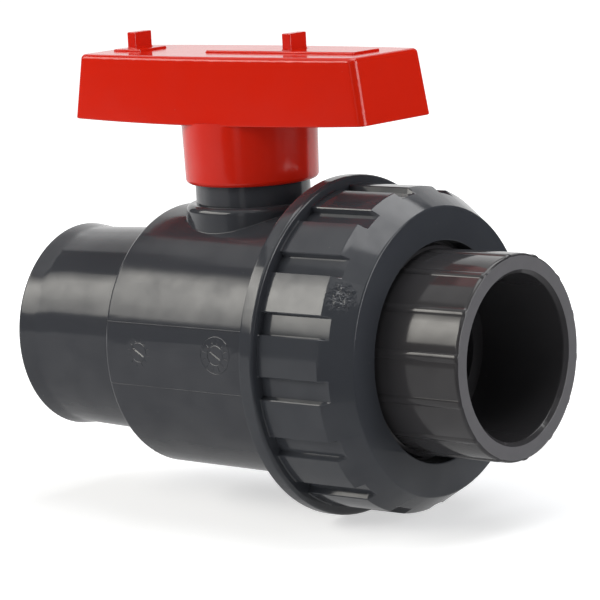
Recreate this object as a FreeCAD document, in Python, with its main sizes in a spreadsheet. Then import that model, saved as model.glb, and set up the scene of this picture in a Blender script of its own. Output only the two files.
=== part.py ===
import FreeCAD, Part
import math
import os
import re
import Sketcher

# Single-union ball valve for 50 mm solvent-weld pipe, in grey PVC-U with a red lever handle.
# Own frame: the origin is the centre of the inlet socket's pipe stop, +X runs along the flow to
# the union end, +Z runs up the stem.  Lengths are in millimetres.

OUT = "parts"
FULL_TURN = 360

# alias, value, what it is
DRIVING = [
    ("pipe_diameter", "50", "outside diameter of the pipe that is glued in"),
    ("socket_clearance", "0.1", "radial room between pipe and socket"),
    ("socket_depth", "31", "depth of each solvent socket"),
    ("mouth_bevel", "1.3", "depth of the lead-in bevel at each socket mouth"),
    ("bevel_width", "1.6", "radial width of that bevel"),
    ("waterway_radius", "20", "radius of the bore through ball and ends"),
    ("ball_reach", "74.3", "inlet mouth to the centre of the ball"),
    ("tail_end_radius", "33", "tail radius at the inlet mouth"),
    ("tail_waist_radius", "32", "tail radius at its waist"),
    ("tail_waist_reach", "8", "inlet mouth to the waist"),
    ("tail_root_radius", "33.2", "tail radius where it meets the shoulder"),
    ("tail_round", "1.2", "rounding of the tail's end edge"),
    ("shoulder_reach", "44.8", "inlet mouth to the body's shoulder"),
    ("shoulder_radius", "41.3", "body radius at the shoulder"),
    ("shoulder_round", "1.8", "rounding of the shoulder's edge"),
    ("body_radius", "41.9", "body radius just behind the union thread"),
    ("thread_start", "36.5", "ball centre to the start of the union thread"),
    ("thread_radius", "44", "crest radius of the union thread"),
    ("thread_bevel", "1.6", "lead-in bevel of the union thread"),
    ("body_front", "57.2", "ball centre to the body's front face"),
    ("cavity_radius", "34.2", "radius of the ball chamber"),
    ("cavity_back", "17", "ball centre to the chamber's back wall"),
    ("cavity_front", "41", "ball centre to the step up to the carrier's thread"),
    ("carrier_thread_radius", "38.6", "radius of the body's inner thread"),
    ("ball_radius", "30", "radius of the ball"),
    ("ball_slot_width", "6.3", "width of the drive slot in the ball"),
    ("ball_slot_floor", "24.6", "height of the slot's floor over the ball centre"),
    ("seat_gap", "0.3", "room between ball and seats"),
    ("seat_inner_radius", "20.4", "inner radius of a seat"),
    ("seat_outer_radius", "28.2", "outer radius of a seat"),
    ("seat_back", "24.5", "ball centre to the back of a seat"),
    ("seat_thickness", "9", "axial length of a seat"),
    ("fit_gap", "0.1", "room between two pieces that stay together"),
    ("cushion_section", "1.3", "section radius of a seat's cushion ring"),
    ("cushion_radius", "24.8", "mean radius of a seat's cushion ring"),
    ("carrier_nose_length", "24", "length of the carrier's plain nose"),
    ("carrier_ring_section", "1.25", "section radius of the carrier's O-ring"),
    ("carrier_ring_reach", "32", "ball centre to the carrier's O-ring"),
    ("key_spacing", "63.2", "spacing of the two key lugs, and of the carrier's two key slots"),
    ("key_shift", "12", "how far the pair of lugs sits back from the hub's centre"),
    ("key_slot_depth", "7", "depth of a key slot"),
    ("face_ring_section", "1.5", "section radius of the union face O-ring"),
    ("face_ring_radius", "23.9", "mean radius of the union face O-ring"),
    ("stem_radius", "9", "radius of the stem's shaft"),
    ("running_gap", "0.05", "radial running clearance of the stem"),
    ("collar_radius", "13", "radius of the stem's collar"),
    ("collar_floor", "30.7", "height of the collar's underside"),
    ("collar_top", "33.9", "height of the collar's top"),
    ("washer_thickness", "1.5", "thickness of the thrust washer"),
    ("washer_gap", "0.2", "axial room over the thrust washer"),
    ("tang_thickness", "6", "thickness of the stem's tang"),
    ("tang_width", "24", "width of the stem's tang"),
    ("tang_floor", "24.9", "height of the tang's lower end"),
    ("stem_ring_section", "1", "section radius of a stem O-ring"),
    ("stem_ring_low", "41.5", "height of the lower stem O-ring"),
    ("stem_ring_pitch", "8", "spacing of the two stem O-rings"),
    ("square_side", "12.8", "side of the stem's square"),
    ("square_top", "81", "height of the stem's top"),
    ("boss_radius", "21.2", "radius of the boss under the neck"),
    ("boss_top", "43.6", "height of the boss"),
    ("boss_round", "2.2", "rounding of the boss's top edge"),
    ("neck_radius", "18", "radius of the neck"),
    ("neck_top", "62", "height of the neck"),
    ("stop_inner_radius", "12.6", "inner radius of the stop recess"),
    ("stop_outer_radius", "16", "outer radius of the stop recess"),
    ("stop_depth", "4", "depth of the stop recess"),
    ("quarter_turn", "90", "angle that the handle turns, degrees"),
    ("stop_margin", "2", "angle left free at each end of that turn, degrees"),
    ("stop_tab_sweep", "32", "angle that the handle's stop tab spans, degrees"),
    ("handle_floor", "69.75", "height of the grip's lower edge"),
    ("handle_top", "90.15", "height of the grip's top"),
    ("grip_length", "116.3", "length of the grip at its lower edge"),
    ("grip_width", "34.8", "width of the grip's ends at its lower edge"),
    ("grip_top_length", "109.7", "length of the grip at its top"),
    ("grip_top_width", "32.9", "width of the grip's ends at its top"),
    ("grip_bow", "3.2", "how far each long side bows out"),
    ("grip_belly", "0.8", "how far the lower edge sags at mid-length"),
    ("grip_wall", "2.8", "wall of the hollow grip"),
    ("grip_roof", "3.4", "thickness of the grip's top"),
    ("grip_corner", "2.6", "rounding of the grip's upright edges"),
    ("grip_edge", "1.6", "rounding of the grip's top edge"),
    ("rib_thickness", "2.4", "thickness of the ribs inside the grip"),
    ("rib_pitch", "16", "spacing of the cross ribs"),
    ("rib_rise", "3", "how far the ribs stop short of the lower edge"),
    ("hub_floor", "49.9", "height of the hub's lower edge"),
    ("hub_radius", "20.8", "hub radius at its lower edge"),
    ("hub_top_radius", "21.3", "hub radius where it meets the grip"),
    ("hub_round", "1.6", "rounding of the hub's lower edge"),
    ("hub_gap", "0.4", "radial room between hub and neck"),
    ("square_gap", "0.1", "room each side of the stem's square"),
    ("deck_gap", "0.8", "room between the neck's top and the hub's deck"),
    ("lug_thickness", "3.4", "thickness of a key lug along the grip"),
    ("lug_width", "8", "width of a key lug across the grip"),
    ("lug_height", "5.9", "height of a key lug"),
    ("lug_gap", "0.25", "room each side of a lug in its key slot"),
    ("pad_height", "0.7", "height of the raised pads"),
    ("pad_width", "13", "width of the raised pads"),
    ("short_pad_middle", "43.6", "hub centre back to the short pad's middle"),
    ("short_pad_length", "11.2", "length of the short pad"),
    ("long_pad_middle", "18.2", "hub centre to the long pad's middle"),
    ("long_pad_length", "58.4", "length of the long pad"),
    ("union_length", "41.1", "length of the union end"),
    ("face_gap", "0.3", "room between the union end and the body"),
    ("flange_radius", "42.6", "radius of the union end's flange"),
    ("flange_thickness", "5.6", "thickness of the union end's flange"),
    ("barrel_radius", "31.6", "radius of the union end's barrel"),
    ("barrel_neck_radius", "32.4", "barrel radius inside the nut"),
    ("collar_band", "2.3", "width of the tapered band at the union end's mouth"),
    ("collar_band_radius", "31.3", "radius of that band where it starts"),
    ("mouth_radius", "30.6", "radius of that band at the mouth"),
    ("flat_count", "15", "number of flats round the barrel"),
    ("flat_reach", "31", "flow axis to a flat"),
    ("flat_start", "70", "ball centre to the start of the flats"),
    ("flat_turn", "22.3", "angle of the first flat, degrees"),
    ("nut_gap", "0.35", "radial room between the nut and the thread's crest"),
    ("nut_back", "33.75", "ball centre to the nut's back face"),
    ("nut_rim_width", "5.4", "width of the nut's rim"),
    ("nut_rim_radius", "52.5", "radius of the nut's rim"),
    ("nut_rim_round", "1.1", "rounding of the rim's edges"),
    ("nut_land_radius", "49.8", "radius of the nut's grip lands"),
    ("nut_land_end", "61.5", "ball centre to the front end of the lands"),
    ("nut_front", "70.75", "ball centre to the nut's front face"),
    ("nut_face_radius", "44", "outer radius of the nut's front face"),
    ("nut_hole_radius", "33.6", "radius of the hole in the nut's front"),
    ("nut_edge_round", "0.6", "rounding of the nut's front edges"),
    ("nut_seat_gap", "0.2", "axial room between nut and flange"),
    ("groove_count", "16", "number of grip grooves round the nut"),
    ("groove_floor", "48", "flow axis to a groove's floor"),
    ("groove_width", "6.6", "width of a groove at the lands"),
    ("groove_taper", "0.35", "how far each groove wall leans in"),
    ("groove_turn", "17", "angle of the first groove, degrees"),
]

# alias, formula, what it is
WORKED = [
    ("socket_radius", "pipe_diameter / 2 + socket_clearance", "inner radius of a socket"),
    ("front_face", "ball_reach + body_front", "inlet mouth to the body's front face"),
    ("seat_mouth", "seat_back - seat_thickness", "ball centre to a seat's rim"),
    ("seat_pocket", "seat_outer_radius + fit_gap", "radius of a seat's pocket"),
    ("cushion_groove", "cushion_section * 2 + fit_gap", "size of a cushion groove"),
    ("thread_in", "carrier_thread_radius - fit_gap", "crest radius of the carrier's thread"),
    ("nose_radius", "cavity_radius - fit_gap", "radius of the carrier's nose"),
    ("carrier_step", "cavity_back + carrier_nose_length + fit_gap + 0.3",
     "start of the carrier's thread"),
    ("carrier_front", "body_front - fit_gap", "ball centre to the carrier's front face"),
    ("stem_bore", "stem_radius + running_gap", "radius of the body's stem bore"),
    ("washer_seat", "collar_top + washer_thickness + washer_gap", "height of the washer's seat"),
    ("collar_pocket", "collar_radius + 0.3", "radius of the pocket over the collar"),
    ("ring_root", "stem_radius - stem_ring_section * 2", "root radius of a stem groove"),
    ("stem_ring_high", "stem_ring_low + stem_ring_pitch", "height of the upper stem O-ring"),
    ("stop_sweep", "quarter_turn + stop_tab_sweep + 2 * stop_margin", "angle of the stop recess"),
    ("hub_bore", "neck_radius + hub_gap", "radius of the hub's bore"),
    ("deck", "neck_top + deck_gap", "height of the hub's deck"),
    ("grip_sag_floor", "handle_floor - grip_belly", "lowest height of the grip's edge"),
    ("bow_radius", "(pow(grip_length; 2) / 4 + pow(grip_bow; 2)) / (2 * grip_bow)",
     "radius of the lower bow"),
    ("cell_length", "grip_top_length - 2 * grip_wall", "length of the hollow in the grip"),
    ("cell_bow_radius", "(pow(cell_length; 2) / 4 + pow(grip_bow; 2)) / (2 * grip_bow)",
     "radius of the hollow's bow"),
    ("side_draft", "atan((grip_width - grip_top_width) / 2 / (handle_top - handle_floor))",
     "draft of the grip's sides, degrees"),
    ("belly_radius", "(pow(grip_length; 2) / 4 + pow(grip_belly; 2)) / (2 * grip_belly)",
     "radius of the belly"),
    ("groove_lean", "groove_taper / (nut_land_radius - groove_floor)", "lean of a groove's walls"),
    ("groove_half", "groove_width / 2 + groove_lean * (nut_rim_radius - nut_land_radius)",
     "half width of a groove at the rim's radius"),
    ("union_back", "body_front + face_gap", "ball centre to the union end's back face"),
    ("union_front", "union_back + union_length", "ball centre to the union end's mouth"),
    ("flange_front", "union_back + flange_thickness", "ball centre to the flange's front"),
    ("nut_bore", "thread_radius + nut_gap", "bore of the nut over the thread"),
    ("nut_seat", "flange_front + nut_seat_gap", "ball centre to the nut's inner seat"),
    ("nut_rim_front", "nut_back + nut_rim_width", "ball centre to the rim's front face"),
]

WORD = re.compile(r"[a-z_]+")
driving_names = [alias for alias, value, note in DRIVING]
worked_names = [alias for alias, formula, note in WORKED]

doc = FreeCAD.newDocument("UnionBallValve")
dimensions = doc.addObject("Spreadsheet::Sheet", "Dimensions")
worked = doc.addObject("Spreadsheet::Sheet", "Worked")
SCRATCH = "E1"


def bound(formula):
    """Writes each dimension's name in a formula as its cell in the sheet that holds it."""
    def cell(match):
        word = match.group(0)
        if word in driving_names:
            return "Dimensions." + word
        if word in worked_names:
            return "Worked." + word
        return word
    return WORD.sub(cell, formula)


def number(formula):
    """The present value of a formula in the dimensions' names."""
    worked.set(SCRATCH, "=" + bound(formula))
    worked.recompute()
    return float(worked.get(SCRATCH))


for row, (alias, value, note) in enumerate(DRIVING, start=1):
    dimensions.set("A%d" % row, note)
    dimensions.set("B%d" % row, value)
    dimensions.setAlias("B%d" % row, alias)
doc.recompute()
for row, (alias, formula, note) in enumerate(WORKED, start=1):
    worked.set("A%d" % row, note)
    worked.set("B%d" % row, "=" + bound(formula))
    worked.setAlias("B%d" % row, alias)
    worked.recompute()
doc.recompute()


def bind(thing, prop, formula):
    thing.setExpression(prop, bound(formula))


def new_body(name, at="0"):
    """A body whose own origin lies on the flow axis, at the given reach from the inlet mouth."""
    body = doc.addObject("PartDesign::Body", name)
    body.Label = name
    bind(body, "Placement.Base.x", "%s - socket_depth" % at)
    return body


def new_sketch(body, name, plane, lift="0", turn="0", turn_axis=(0, 0, 1)):
    """A sketch on one of the body's own origin planes, lifted off it and turned about an axis."""
    sketch = body.newObject("Sketcher::SketchObject", name)
    origin_plane = [item for item in body.Origin.OriginFeatures if item.Role == plane][0]
    sketch.AttachmentSupport = [(origin_plane, "")]
    sketch.MapMode = "FlatFace"
    sketch.AttachmentOffset = FreeCAD.Placement(
        FreeCAD.Vector(0, 0, number(lift)),
        FreeCAD.Rotation(FreeCAD.Vector(*turn_axis), number(turn)))
    bind(sketch, "AttachmentOffset.Base.z", lift)
    bind(sketch, "AttachmentOffset.Rotation.Angle", turn)
    return sketch


def pin(sketch, curve, end, across, up):
    """Holds one point of a curve at two formulas, measured from the sketch's origin."""
    for kind, axis, formula in (("DistanceX", -2, across), ("DistanceY", -1, up)):
        value = number(formula)
        if abs(value) < 1e-9:
            sketch.addConstraint(Sketcher.Constraint("PointOnObject", curve, end, axis))
            continue
        index = sketch.addConstraint(Sketcher.Constraint(kind, -1, 1, curve, end, value))
        sketch.setExpression("Constraints[%d]" % index, bound(formula))


def loop(sketch, corners, bows=None):
    """Draws a closed outline through the corners.  A side named in bows is an arc of the given
    radius formula, bulging to the right of its travel."""
    bows = bows or {}
    points = [FreeCAD.Vector(number(across), number(up), 0) for across, up in corners]
    first = sketch.GeometryCount
    for side, start in enumerate(points):
        end = points[(side + 1) % len(points)]
        if side in bows:
            radius = number(bows[side])
            chord = end - start
            rise = radius - math.sqrt(radius ** 2 - (chord.Length / 2) ** 2)
            outward = FreeCAD.Vector(chord.y, -chord.x, 0).normalize()
            sketch.addGeometry(Part.Arc(start, (start + end) * 0.5 + outward * rise, end))
        else:
            sketch.addGeometry(Part.LineSegment(start, end))
    for side, (across, up) in enumerate(corners):
        curve = first + side
        after = first + (side + 1) % len(corners)
        # an arc drawn clockwise keeps its ends in the other order
        own_start = 2 if side in bows and reversed_arc(sketch, curve, points[side]) else 1
        own_end = 3 - own_start
        next_side = (side + 1) % len(corners)
        next_start = 2 if next_side in bows and reversed_arc(sketch, after, points[next_side]) else 1
        pin(sketch, curve, own_start, across, up)
        sketch.addConstraint(Sketcher.Constraint("Coincident", curve, own_end, after, next_start))
        if side in bows:
            index = sketch.addConstraint(Sketcher.Constraint("Radius", curve, number(bows[side])))
            sketch.setExpression("Constraints[%d]" % index, bound(bows[side]))


def reversed_arc(sketch, curve, start):
    return (sketch.getPoint(curve, 1) - start).Length > 1e-6


def disc(sketch, across, up, radius):
    """Draws a circle held by formulas for its centre and radius."""
    centre = FreeCAD.Vector(number(across), number(up), 0)
    curve = sketch.addGeometry(Part.Circle(centre, FreeCAD.Vector(0, 0, 1), number(radius)))
    pin(sketch, curve, 3, across, up)
    index = sketch.addConstraint(Sketcher.Constraint("Radius", curve, number(radius)))
    sketch.setExpression("Constraints[%d]" % index, bound(radius))


def half_disc(sketch, centre, radius):
    """Draws a half disc standing on the horizontal axis, for turning into a ball."""
    middle = number(centre)
    reach = number(radius)
    left = FreeCAD.Vector(middle - reach, 0, 0)
    right = FreeCAD.Vector(middle + reach, 0, 0)
    arc = sketch.addGeometry(Part.Arc(right, FreeCAD.Vector(middle, reach, 0), left))
    line = sketch.addGeometry(Part.LineSegment(left, right))
    sketch.addConstraint(Sketcher.Constraint("Coincident", arc, 2, line, 1))
    sketch.addConstraint(Sketcher.Constraint("Coincident", arc, 1, line, 2))
    sketch.addConstraint(Sketcher.Constraint("PointOnObject", line, 1, -1))
    sketch.addConstraint(Sketcher.Constraint("PointOnObject", line, 2, -1))
    pin(sketch, arc, 3, centre, "0")
    index = sketch.addConstraint(Sketcher.Constraint("Radius", arc, reach))
    sketch.setExpression("Constraints[%d]" % index, bound(radius))


def turned(body, kind, sketch, axis="H_Axis", sweep=None, reverse=False):
    """Turns a sketch about one of its axes, as a Revolution or a Groove, fully or by a sweep."""
    feature = body.newObject("PartDesign::" + kind, sketch.Name.replace("Sketch", kind))
    feature.Profile = sketch
    feature.ReferenceAxis = (sketch, [axis])
    feature.Angle = number(sweep) if sweep else FULL_TURN
    if sweep:
        bind(feature, "Angle", sweep)
    feature.Reversed = reverse
    doc.recompute()
    return feature


def extruded(body, kind, sketch, length, symmetric=False, reverse=False, taper=None):
    """Pushes a sketch out as a Pad, or in as a Pocket, with drafted walls where a taper is given."""
    feature = body.newObject("PartDesign::" + kind, sketch.Name.replace("Sketch", kind))
    feature.Profile = sketch
    feature.Length = number(length)
    bind(feature, "Length", length)
    feature.SideType = "Symmetric" if symmetric else "One side"
    if taper:
        feature.TaperAngle = number(taper)
        bind(feature, "TaperAngle", taper)
    feature.Reversed = reverse
    doc.recompute()
    return feature


def patterned(body, feature, axis_sketch, count):
    """Repeats a feature all round the axis that a sketch stands across."""
    pattern = body.newObject("PartDesign::PolarPattern", feature.Name + "Pattern")
    pattern.Originals = [feature]
    pattern.Axis = (axis_sketch, ["N_Axis"])
    pattern.Angle = FULL_TURN
    pattern.Occurrences = int(number(count))
    bind(pattern, "Occurrences", count)
    body.Tip = pattern
    doc.recompute()
    return pattern


def dressed(body, kind, base, edges, size):
    """Rounds or bevels the named edges of the last feature."""
    feature = body.newObject("PartDesign::" + kind, base.Name + kind)
    feature.Base = (base, edges)
    prop = "Radius" if kind == "Fillet" else "Size"
    setattr(feature, prop, number(size))
    bind(feature, prop, size)
    doc.recompute()
    return feature


def rings(feature, wanted):
    """Names the feature's round edges whose (place along X, radius) is in the list."""
    found = []
    for index, edge in enumerate(feature.Shape.Edges, start=1):
        curve = edge.Curve
        if not hasattr(curve, "Radius") or not hasattr(curve, "Center"):
            continue
        for place, radius in wanted:
            if abs(curve.Center.x - place) < 0.01 and abs(curve.Radius - radius) < 0.01:
                found.append("Edge%d" % index)
    return found


def levels(feature, wanted):
    """Names the feature's round edges whose (height, radius) is in the list."""
    found = []
    for index, edge in enumerate(feature.Shape.Edges, start=1):
        curve = edge.Curve
        if not hasattr(curve, "Radius") or not hasattr(curve, "Center"):
            continue
        for height, radius in wanted:
            if abs(curve.Center.z - height) < 0.01 and abs(curve.Radius - radius) < 0.01:
                found.append("Edge%d" % index)
    return found


# ---- valve body: one moulding with the inlet socket, ball chamber, stem neck and union thread
body = new_body("valve_body")
outer = new_sketch(body, "BodyOuterSketch", "XZ_Plane")
loop(outer, [
    ("0", "0"),
    ("0", "tail_end_radius"),
    ("tail_waist_reach", "tail_waist_radius"),
    ("shoulder_reach", "tail_root_radius"),
    ("shoulder_reach", "shoulder_radius"),
    ("ball_reach + nut_back", "body_radius"),
    ("ball_reach + thread_start", "body_radius"),
    ("ball_reach + thread_start + thread_bevel", "thread_radius"),
    ("front_face - thread_bevel", "thread_radius"),
    ("front_face", "thread_radius - thread_bevel"),
    ("front_face", "0"),
])
shell = turned(body, "Revolution", outer)
shell_round = dressed(body, "Fillet", shell, rings(shell, [
    (number("shoulder_reach"), number("shoulder_radius"))]), "shoulder_round")
dressed(body, "Fillet", shell_round, rings(shell_round, [
    (0, number("tail_end_radius"))]), "tail_round")

neck = new_sketch(body, "NeckSketch", "XZ_Plane")
neck_axis = neck.addGeometry(Part.LineSegment(
    FreeCAD.Vector(number("ball_reach"), 0, 0),
    FreeCAD.Vector(number("ball_reach"), number("neck_top"), 0)), True)
pin(neck, neck_axis, 1, "ball_reach", "0")
pin(neck, neck_axis, 2, "ball_reach", "neck_top")
loop(neck, [
    ("ball_reach", "ball_radius"),
    ("ball_reach + boss_radius", "ball_radius"),
    ("ball_reach + boss_radius", "boss_top"),
    ("ball_reach + neck_radius", "boss_top"),
    ("ball_reach + neck_radius", "neck_top"),
    ("ball_reach", "neck_top"),
])
neck_solid = turned(body, "Revolution", neck, "Axis0")
dressed(body, "Fillet", neck_solid, levels(neck_solid, [
    (number("boss_top"), number("boss_radius"))]), "boss_round")

inner = new_sketch(body, "BodyInnerSketch", "XZ_Plane")
loop(inner, [
    ("0", "0"),
    ("0", "socket_radius + bevel_width"),
    ("mouth_bevel", "socket_radius"),
    ("socket_depth", "socket_radius"),
    ("socket_depth", "waterway_radius"),
    ("ball_reach - seat_back", "waterway_radius"),
    ("ball_reach - seat_back", "cushion_radius - cushion_groove / 2"),
    ("ball_reach - seat_back - cushion_groove", "cushion_radius - cushion_groove / 2"),
    ("ball_reach - seat_back - cushion_groove", "cushion_radius + cushion_groove / 2"),
    ("ball_reach - seat_back", "cushion_radius + cushion_groove / 2"),
    ("ball_reach - seat_back", "seat_pocket"),
    ("ball_reach - cavity_back", "seat_pocket"),
    ("ball_reach - cavity_back", "cavity_radius"),
    ("ball_reach + cavity_front", "cavity_radius"),
    ("ball_reach + cavity_front", "carrier_thread_radius"),
    ("front_face", "carrier_thread_radius"),
    ("front_face", "0"),
])
turned(body, "Groove", inner)

stem_bore = new_sketch(body, "StemBoreSketch", "XZ_Plane")
bore_axis = stem_bore.addGeometry(Part.LineSegment(
    FreeCAD.Vector(number("ball_reach"), 0, 0),
    FreeCAD.Vector(number("ball_reach"), number("neck_top"), 0)), True)
pin(stem_bore, bore_axis, 1, "ball_reach", "0")
pin(stem_bore, bore_axis, 2, "ball_reach", "neck_top")
loop(stem_bore, [
    ("ball_reach", "ball_radius"),
    ("ball_reach + collar_pocket", "ball_radius"),
    ("ball_reach + collar_pocket", "washer_seat"),
    ("ball_reach + stem_bore", "washer_seat"),
    ("ball_reach + stem_bore", "neck_top"),
    ("ball_reach", "neck_top"),
])
turned(body, "Groove", stem_bore, "Axis0")

stop_recess = new_sketch(body, "StopRecessSketch", "XZ_Plane")
recess_axis = stop_recess.addGeometry(Part.LineSegment(
    FreeCAD.Vector(number("ball_reach"), 0, 0),
    FreeCAD.Vector(number("ball_reach"), number("neck_top"), 0)), True)
pin(stop_recess, recess_axis, 1, "ball_reach", "0")
pin(stop_recess, recess_axis, 2, "ball_reach", "neck_top")
loop(stop_recess, [
    ("ball_reach + stop_inner_radius", "neck_top - stop_depth"),
    ("ball_reach + stop_outer_radius", "neck_top - stop_depth"),
    ("ball_reach + stop_outer_radius", "neck_top + 1"),
    ("ball_reach + stop_inner_radius", "neck_top + 1"),
])
stopped = turned(body, "Groove", stop_recess, "Axis0", "stop_sweep")
body.Tip = stopped


# ---- ball: full-bore ball with the slot that the stem drives
ball = new_body("ball", "ball_reach")
ball_outline = new_sketch(ball, "BallSketch", "XZ_Plane")
half_disc(ball_outline, "0", "ball_radius")
turned(ball, "Revolution", ball_outline)
ball_bore = new_sketch(ball, "BallBoreSketch", "YZ_Plane")
disc(ball_bore, "0", "0", "waterway_radius")
extruded(ball, "Pocket", ball_bore, "ball_radius * 2 + 2", symmetric=True)
ball_slot = new_sketch(ball, "BallSlotSketch", "XZ_Plane")
loop(ball_slot, [
    ("-ball_slot_width / 2", "ball_slot_floor"),
    ("ball_slot_width / 2", "ball_slot_floor"),
    ("ball_slot_width / 2", "ball_radius + 1"),
    ("-ball_slot_width / 2", "ball_radius + 1"),
])
slotted = extruded(ball, "Pocket", ball_slot, "ball_radius * 2", symmetric=True)
ball.Tip = slotted


# ---- seats: PTFE rings on both sides of the ball, each backed by a rubber cushion ring
def add_seat(name, side):
    """A seat ring; side is empty for the union side and a minus sign for the inlet side."""
    seat = new_body(name, "ball_reach")
    ring = new_sketch(seat, name.title().replace("_", "") + "Sketch", "XZ_Plane")
    loop(ring, [
        (side + "seat_mouth", "seat_inner_radius"),
        (side + "seat_back", "seat_inner_radius"),
        (side + "seat_back", "seat_outer_radius"),
        (side + "seat_mouth", "seat_outer_radius"),
    ])
    turned(seat, "Revolution", ring)
    dish = new_sketch(seat, name.title().replace("_", "") + "DishSketch", "XZ_Plane")
    half_disc(dish, "0", "ball_radius + seat_gap")
    seat.Tip = turned(seat, "Groove", dish)
    return seat


def add_ring(name, middle, radius, section, axis="H_Axis"):
    """A rubber ring of round section about the flow axis, or about the stem for V_Axis."""
    ring = new_body(name, "ball_reach")
    outline = new_sketch(ring, name.title().replace("_", "") + "Sketch", "XZ_Plane")
    if axis == "H_Axis":
        disc(outline, middle, radius, section)
    else:
        disc(outline, radius, middle, section)
    ring.Tip = turned(ring, "Revolution", outline, axis)
    return ring


add_seat("inlet_seat", "-")
add_seat("outlet_seat", "")
add_ring("inlet_seat_cushion", "-(seat_back + cushion_section)",
         "cushion_radius", "cushion_section")
add_ring("outlet_seat_cushion", "seat_back + cushion_section",
         "cushion_radius", "cushion_section")


# ---- seat carrier: screwed into the body by its key slots to load the seats
carrier = new_body("seat_carrier", "ball_reach")
carrier_outline = new_sketch(carrier, "CarrierSketch", "XZ_Plane")
loop(carrier_outline, [
    ("cavity_back", "seat_pocket"),
    ("cavity_back", "nose_radius"),
    ("carrier_ring_reach - carrier_ring_section", "nose_radius"),
    ("carrier_ring_reach - carrier_ring_section", "cavity_radius - carrier_ring_section * 2"),
    ("carrier_ring_reach + carrier_ring_section", "cavity_radius - carrier_ring_section * 2"),
    ("carrier_ring_reach + carrier_ring_section", "nose_radius"),
    ("carrier_step", "nose_radius"),
    ("carrier_step", "thread_in"),
    ("carrier_front", "thread_in"),
    ("carrier_front", "face_ring_radius + face_ring_section + fit_gap"),
    ("carrier_front - face_ring_section * 2", "face_ring_radius + face_ring_section + fit_gap"),
    ("carrier_front - face_ring_section * 2", "face_ring_radius - face_ring_section - fit_gap"),
    ("carrier_front", "face_ring_radius - face_ring_section - fit_gap"),
    ("carrier_front", "waterway_radius"),
    ("seat_back", "waterway_radius"),
    ("seat_back", "cushion_radius - cushion_groove / 2"),
    ("seat_back + cushion_groove", "cushion_radius - cushion_groove / 2"),
    ("seat_back + cushion_groove", "cushion_radius + cushion_groove / 2"),
    ("seat_back", "cushion_radius + cushion_groove / 2"),
    ("seat_back", "seat_pocket"),
])
turned(carrier, "Revolution", carrier_outline)
key_slots = new_sketch(carrier, "KeySlotSketch", "YZ_Plane", "carrier_front")
for side in ("", "-"):
    loop(key_slots, [
        (side + "(key_spacing / 2 - lug_thickness / 2 - lug_gap)", "-lug_width / 2 - lug_gap"),
        (side + "(key_spacing / 2 + lug_thickness / 2 + lug_gap)", "-lug_width / 2 - lug_gap"),
        (side + "(key_spacing / 2 + lug_thickness / 2 + lug_gap)", "lug_width / 2 + lug_gap"),
        (side + "(key_spacing / 2 - lug_thickness / 2 - lug_gap)", "lug_width / 2 + lug_gap"),
    ])
carrier.Tip = extruded(carrier, "Pocket", key_slots, "key_slot_depth")

add_ring("carrier_o_ring", "carrier_ring_reach",
         "cavity_radius - carrier_ring_section", "carrier_ring_section")
add_ring("union_face_o_ring", "carrier_front - face_ring_section",
         "face_ring_radius", "face_ring_section")


# ---- stem: put in from the chamber, its collar stops it from being blown out
stem = new_body("stem", "ball_reach")
stem_outline = new_sketch(stem, "StemSketch", "XZ_Plane")
loop(stem_outline, [
    ("0", "collar_floor"),
    ("collar_radius", "collar_floor"),
    ("collar_radius", "collar_top"),
    ("stem_radius", "collar_top"),
    ("stem_radius", "stem_ring_low - stem_ring_section"),
    ("ring_root", "stem_ring_low - stem_ring_section"),
    ("ring_root", "stem_ring_low + stem_ring_section"),
    ("stem_radius", "stem_ring_low + stem_ring_section"),
    ("stem_radius", "stem_ring_high - stem_ring_section"),
    ("ring_root", "stem_ring_high - stem_ring_section"),
    ("ring_root", "stem_ring_high + stem_ring_section"),
    ("stem_radius", "stem_ring_high + stem_ring_section"),
    ("stem_radius", "neck_top"),
    ("0", "neck_top"),
])
turned(stem, "Revolution", stem_outline, "V_Axis")
tang = new_sketch(stem, "TangSketch", "XY_Plane", "tang_floor")
loop(tang, [
    ("-tang_thickness / 2", "-tang_width / 2"),
    ("tang_thickness / 2", "-tang_width / 2"),
    ("tang_thickness / 2", "tang_width / 2"),
    ("-tang_thickness / 2", "tang_width / 2"),
])
extruded(stem, "Pad", tang, "collar_floor - tang_floor")
square = new_sketch(stem, "SquareSketch", "XY_Plane", "neck_top")
loop(square, [
    ("-square_side / 2", "-square_side / 2"),
    ("square_side / 2", "-square_side / 2"),
    ("square_side / 2", "square_side / 2"),
    ("-square_side / 2", "square_side / 2"),
])
square_solid = extruded(stem, "Pad", square, "square_top - neck_top")


def edges_at(feature, low, high):
    """Names the edges whose ends lie at one height each, the lower first."""
    found = []
    for index, edge in enumerate(feature.Shape.Edges, start=1):
        heights = sorted(vertex.Z for vertex in edge.Vertexes)
        if abs(heights[0] - low) < 0.01 and abs(heights[-1] - high) < 0.01:
            found.append("Edge%d" % index)
    return found


top_of_square = number("square_top")
stem.Tip = dressed(stem, "Chamfer", square_solid,
                   edges_at(square_solid, top_of_square, top_of_square), "stem_ring_section")

add_ring("stem_o_ring_lower", "stem_ring_low",
         "stem_radius - stem_ring_section", "stem_ring_section", "V_Axis")
add_ring("stem_o_ring_upper", "stem_ring_high",
         "stem_radius - stem_ring_section", "stem_ring_section", "V_Axis")
washer = new_body("stem_thrust_washer", "ball_reach")
washer_outline = new_sketch(washer, "WasherSketch", "XZ_Plane")
loop(washer_outline, [
    ("stem_radius", "collar_top"),
    ("collar_radius", "collar_top"),
    ("collar_radius", "collar_top + washer_thickness"),
    ("stem_radius", "collar_top + washer_thickness"),
])
washer.Tip = turned(washer, "Revolution", washer_outline, "V_Axis")


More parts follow.
